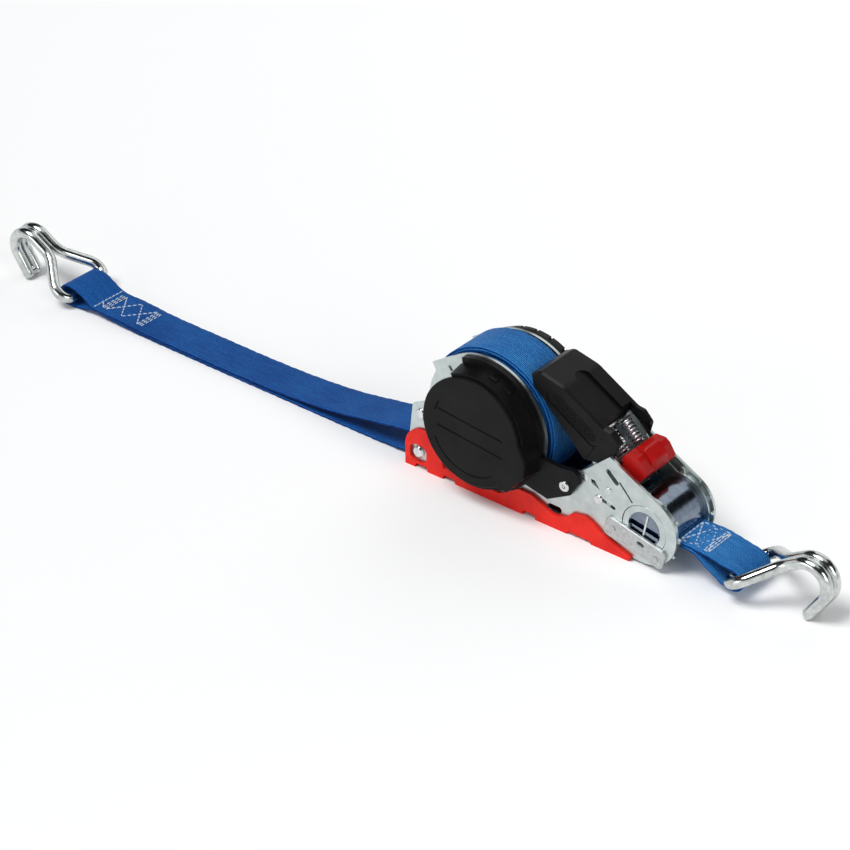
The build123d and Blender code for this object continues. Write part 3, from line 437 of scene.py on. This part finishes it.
# ------------------------------------------------------------------ webbing from the spool to the mandrel
run_start = Vector(polar(DRUM_RADIUS + 0.5, 180 + SLOT_TILT))
RUN_RADIUS, RUN_STEPS = 41.0, 30
WRAP_DEGREES, WRAP_STEP = 23, 2
to_spool = Vector(SPOOL) - run_start
run_way = math.atan2(to_spool.y, to_spool.x) + math.asin(RUN_RADIUS / to_spool.length)
touch_angle = math.degrees(run_way) + 90
touch = Vector(polar(RUN_RADIUS, touch_angle, SPOOL))
run_points = [tuple(run_start.lerp(touch, k / RUN_STEPS)) for k in range(RUN_STEPS)]
run_points += [polar(RUN_RADIUS, touch_angle - k, SPOOL) for k in range(0, WRAP_DEGREES, WRAP_STEP)]
run, run_length = webbing_ribbon("webbing_run_cloth", flat_path(run_points), shade_lifted_webbing)
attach(run, "frame")
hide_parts("webbing_run")

# ------------------------------------------------------------------ webbing through the mandrel
slot_points = [polar(reach, SLOT_TILT) for reach in (-15.2, -8, 0, 8, 15.2)]
in_slot, slot_length = webbing_ribbon("webbing_slot_cloth", flat_path(slot_points), shade_lifted_webbing,
                                      width=SLOT_WEB_WIDTH)
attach(in_slot, "mandrel")
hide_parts("webbing_in_slot")

# ------------------------------------------------------------------ fixed strap
LOOP_GAP, CAD_WEB_THICK = 0.25, 1.3
LOOP_RADIUS = SLEEVE_RADIUS + LOOP_GAP + CAD_WEB_THICK / 2      # to the middle of the webbing
GROUND = 0.75           # height of the middle of the webbing where it lies on the floor
bolt_loop = [polar(LOOP_RADIUS, a, BOLT) for a in range(84, -97, -12)]
fixed_points = [(-307, 5.05), (-288, 4.3), (-268, 3.0), (-225, 2.7), (-190, 2.75), (-160, 3.7),
                (-130, 6.2), (-100, 11.2), (-80, 14.6)]
fixed_points += bolt_loop
fixed_points += [(-80, 2.2), (-96, 1.1), (-125, GROUND), (-170, GROUND), (-225, GROUND),
                 (-268, GROUND + 0.55), (-288, 2.3), (-307, 3.75), (-313, 2.3), (-319, 0.95),
                 (-326, GROUND), (-330.0, 1.5), (-331.9, 4.4), (-331.7, 8.4), (-329.3, 11.4),
                 (-324, 12.3), (-318, 10.9), (-312, 7.7)]
fixed_path = curve_through(flat_path(fixed_points), 1.2, closed=True)
strap_a, fixed_length = webbing_ribbon("fixed_strap_cloth", fixed_path, webbing, closed=True)
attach(strap_a, "frame")
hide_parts("fixed_strap")


def sewn_box(x0, x1, height, up, half=8.6, sides=True):
    """Lines of a cross of stitches, with or without its box; height gives z at x."""
    corners = [(x0, -half), (x1, -half), (x1, half), (x0, half)]
    pairs = [(0, 2), (1, 3)] + ([(0, 1), (1, 2), (2, 3), (3, 0)] if sides else [])
    return [(((corners[a][0], corners[a][1], height(corners[a][0])), up),
             ((corners[b][0], corners[b][1], height(corners[b][0])), up)) for a, b in pairs]


def end_rows(x, step, height, up, half=8.6, rows=3):
    """Rows of stitches across the strap, side by side."""
    places = [x + step * k for k in range(rows)]
    return [(((p, -half, height(p)), up), ((p, half, height(p)), up)) for p in places]


def straight(x0, z0, x1, z1):
    """Height function of a straight line."""
    return lambda x: z0 + (z1 - z0) * (x - x0) / (x1 - x0)


seam_top = straight(-307, 5.05 + WEB_THICK / 2, -268, 3.1 + WEB_THICK / 2)
seam_up = (0.05, 0, 1)
seam_lines = end_rows(-303, 1.5, seam_top, seam_up) + end_rows(-273, -1.5, seam_top, seam_up)
seam_lines += sewn_box(-300, -288, seam_top, seam_up, sides=False)
seam_lines += sewn_box(-288, -276, seam_top, seam_up, sides=False)
SEAM_END, TAIL_END = -306.5, -302
for from_x, from_y, to_x, to_y in ((SEAM_END, -11.6, SEAM_END, 11.6), (SEAM_END, -4.0, TAIL_END, -8.6)):
    seam_lines.append((((from_x, from_y, seam_top(from_x)), seam_up),
                       ((to_x, to_y, seam_top(to_x)), seam_up)))
fixed_stitches = stitches("fixed_strap_stitching", seam_lines)
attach(fixed_stitches, "frame")

# ------------------------------------------------------------------ adjustable end of the strap
exit_x, exit_z = polar(DRUM_RADIUS + 0.5, SLOT_TILT)
end_points = [(exit_x, exit_z), (98.5, 18.3), (103, 18.6), (108, 18.4), (115, 17.4), (121.5, 16.0),
              (FREE_BAR_X, 15.2), (131.6, 13.6), (133.3, 10.2), (132.7, 6.9), (130.0, 4.8),
              (126.5, 4.6), (121.0, 6.4), (115.5, 9.6), (109.5, 13.3), (104.5, 16.3), (100, 16.9),
              (96.5, 16.6)]
end_path = curve_through(flat_path(end_points), 0.8)
strap_b, end_length = webbing_ribbon("strap_end_cloth", end_path, shade_lifted_webbing, wave=0.25)
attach(strap_b, "frame")
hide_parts("strap_end")
end_top = straight(95, 18.4 + WEB_THICK / 2, 112, 18.1 + WEB_THICK / 2)
end_up = (0.04, 0, 1)
end_lines = sewn_box(95.2, 103.6, end_top, end_up, 9.8) + sewn_box(103.6, 112, end_top, end_up, 9.8)
end_lines += end_rows(112, -1.4, end_top, end_up, 9.2)
end_stitches = stitches("strap_end_stitching", end_lines)
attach(end_stitches, "frame")


# ------------------------------------------------------------------ coil springs along the pawl lines
COIL_STEPS, WIRE_SIDES = 28, 8


def spring_pair(name, node, angle, start, end, above, radius, wire_radius, turns, spread):
    """Two coil springs along a radial line of the mandrel (mm), from body low at start to high at end."""
    way = Vector((math.cos(math.radians(angle)), 0, math.sin(math.radians(angle))))
    rise = Vector((way.z, 0, -way.x))
    across = Vector((0, 1, 0))
    foot = Vector((MANDREL[0], 0, MANDREL[1])) + way * start + rise * above
    dead = 2.1 * wire_radius          # height of a closed turn at each end
    pitch = (end - start - 2 * wire_radius - 2 * dead) / (turns - 2)
    vertices, faces = [], []
    steps, sides = turns * COIL_STEPS, WIRE_SIDES
    for side in (-spread, spread):
        base = len(vertices)
        for i in range(steps + 1):
            turn = turns * i / steps
            height = wire_radius + dead * min(turn, 1) + pitch * min(max(turn - 1, 0), turns - 2)
            height += dead * max(turn - turns + 1, 0)
            out = rise * math.cos(math.tau * turn) + across * math.sin(math.tau * turn)
            centre = foot + across * side + way * height + out * radius
            for q in range(sides):
                around = math.tau * q / sides
                offset = (out * math.cos(around) + way * math.sin(around)) * wire_radius
                vertices.append(tuple((centre + offset) * MM))
        last = base + steps * sides
        for ring in range(base, last, sides):
            for q in range(sides):
                s = (q + 1) % sides
                faces.append((ring + q, ring + sides + q, ring + sides + s, ring + s))
        faces.append(tuple(base + q for q in range(sides)))
        faces.append(tuple(last + q for q in reversed(range(sides))))
    pair = mesh_object(name, vertices, faces, spring)
    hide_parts(node)
    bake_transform(pair)


spring_pair("lever_spring_coils", "lever_springs", DRIVE_PAWL_ANGLE, 36.5, 50.0, 7.0, 3.0, 0.55, 7, 6.2)
spring_pair("holding_spring_coils", "holding_pawl_springs", HOLDING_PAWL_ANGLE, 32.2, 41.4, -1.5, 2.0, 0.3,
            8, 6.0)

# ------------------------------------------------------------------ beaded side panels of the grip
PANEL, PANEL_TILT, PANEL_FLOOR = (31.5, 66.0), -30.5, 14.5
panel_along = Vector((math.cos(math.radians(PANEL_TILT)), 0, math.sin(math.radians(PANEL_TILT))))
panel_across = Vector((-panel_along.z, 0, panel_along.x))
COLUMNS, ROWS, COLUMN_PITCH, ROW_PITCH, BEAD_SIDES = 22, 3, 0.76, 1.05, 8
BEAD_RINGS = ((0.52, -0.05), (0.42, 0.26), (0.16, 0.4))     # (radius, height) of each bead's rings
bead_points, bead_faces = [], []
for side in (-1, 1):
    turn = 1 if side < 0 else -1
    for column in range(-COLUMNS, COLUMNS + 1):
        for row in range(-ROWS, ROWS + 1):
            if abs(column) * COLUMN_PITCH > 15.2 - 0.28 * row * row or (column + row) % 2:
                continue
            centre = Vector((PANEL[0], side * PANEL_FLOOR, PANEL[1]))
            centre += panel_along * column * COLUMN_PITCH + panel_across * row * ROW_PITCH
            base = len(bead_points)
            for size, lift in BEAD_RINGS:
                for q in range(BEAD_SIDES):
                    angle = math.tau * q / BEAD_SIDES
                    flat = panel_along * math.cos(angle) + panel_across * math.sin(angle)
                    bead_points.append(tuple((centre + flat * size + Vector((0, side * lift, 0))) * MM))
            top = base + (len(BEAD_RINGS) - 1) * BEAD_SIDES
            for ring in range(base, top, BEAD_SIDES):
                for q in range(BEAD_SIDES):
                    s = (q + 1) % BEAD_SIDES
                    corners = (ring + q, ring + s, ring + BEAD_SIDES + s, ring + BEAD_SIDES + q)
                    bead_faces.append(corners[::turn])
            bead_faces.append(tuple(top + q for q in range(BEAD_SIDES))[::turn])
            bead_faces.append(tuple(base + q for q in range(BEAD_SIDES))[::-turn])
beads = mesh_object("grip_beads", bead_points, bead_faces, black)
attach(beads, "handle")

# ------------------------------------------------------------------ floor, light and camera
FLOOR = 6.0             # half its side, in metres
floor_corners = [(-FLOOR, -FLOOR, 0), (FLOOR, -FLOOR, 0), (FLOOR, FLOOR, 0), (-FLOOR, FLOOR, 0)]
floor = mesh_object("floor", floor_corners, [(0, 1, 2, 3)], Nodes("pale_floor").mat)
floor_nodes = floor.data.materials[0].node_tree.nodes["Principled BSDF"]
floor_nodes.inputs["Base Color"].default_value = (0.92, 0.92, 0.92, 1)
floor_nodes.inputs["Roughness"].default_value = 0.9

world = bpy.data.worlds.new("studio")
bpy.context.scene.world = world
world.use_nodes = True
sky = world.node_tree
sky_place = sky.nodes.new("ShaderNodeTexCoord")
sky_parts = sky.nodes.new("ShaderNodeSeparateXYZ")
sky_ramp = sky.nodes.new("ShaderNodeValToRGB")
sky.links.new(sky_place.outputs["Generated"], sky_parts.inputs["Vector"])
sky.links.new(sky_parts.outputs["Z"], sky_ramp.inputs["Fac"])
sky.links.new(sky_ramp.outputs["Color"], sky.nodes["Background"].inputs["Color"])
bright, dark = (0.95, 0.97, 1.0, 1), (0.02, 0.022, 0.025, 1)
stops = sky_ramp.color_ramp.elements
stops[0].position, stops[0].color = 0.0, bright
stops[1].position, stops[1].color = 0.30, bright
for place, colour in ((0.42, dark), (0.90, dark), (0.97, bright)):
    stop = stops.new(place)
    stop.color = colour
sky.nodes["Background"].inputs["Strength"].default_value = 0.85


def area_light(name, place, target, size, power):
    """Soft square light aimed at a point, in metres."""
    data = bpy.data.lights.new(name, "AREA")
    data.shape = "SQUARE"
    data.size = size
    data.energy = power
    lamp = bpy.data.objects.new(name, data)
    lamp.location = place
    lamp.rotation_euler = (Vector(target) - Vector(place)).to_track_quat("-Z", "Y").to_euler()
    bpy.context.scene.collection.objects.link(lamp)


sun_data = bpy.data.lights.new("key", "SUN")
sun_data.energy = 2.3
sun_data.angle = math.radians(28)
sun = bpy.data.objects.new("key", sun_data)
sun.rotation_euler = Vector((0.22, 0.42, -0.88)).to_track_quat("-Z", "Y").to_euler()
bpy.context.scene.collection.objects.link(sun)
area_light("fill", (1.4, -0.4, 0.8), (0, 0, 0), 0.8, 6)
area_light("back", (-0.2, 1.3, 1.2), (0, 0, 0), 1.3, 6)
area_light("front", (-0.5, -1.4, 0.3), (-0.12, 0, 0.01), 0.8, 3)

camera_data = bpy.data.cameras.new("camera")
camera_data.sensor_width = 36.0
camera_data.lens = 127.06
camera_data.clip_end = 20.0
camera = bpy.data.objects.new("camera", camera_data)
camera.location = (0.7687, -1.0321, 0.8463)
camera.rotation_euler = Vector((-0.5366, 0.6566, -0.5301)).to_track_quat("-Z", "Y").to_euler()
bpy.context.scene.collection.objects.link(camera)
bpy.context.scene.camera = camera
bpy.context.scene.view_settings.view_transform = "Standard"
